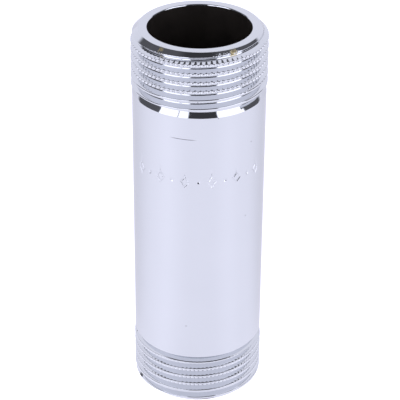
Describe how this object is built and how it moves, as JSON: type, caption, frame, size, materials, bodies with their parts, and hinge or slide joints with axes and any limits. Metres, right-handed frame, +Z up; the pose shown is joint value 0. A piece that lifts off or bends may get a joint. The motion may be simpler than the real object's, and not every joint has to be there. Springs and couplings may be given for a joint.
{
  "type": "threaded pipe nipple",
  "caption": "Straight chrome-plated brass barrel nipple: smooth tube with a knurled parallel male pipe thread on each end and a through bore.",
  "frame": {"origin": "centre of the lower end face, on the pipe axis", "axes": "+Z up along the pipe axis; X and Y across the pipe"},
  "size_m": [0.0264, 0.0264, 0.08],
  "materials": {
    "brass": "turned, left bare and dulled inside the bore",
    "chrome": "bright polished nickel and chrome plating"
  },
  "bodies": {
    "root": {"brass_body": "brass", "chrome_plating": "chrome"}
  },
  "joints": []
}
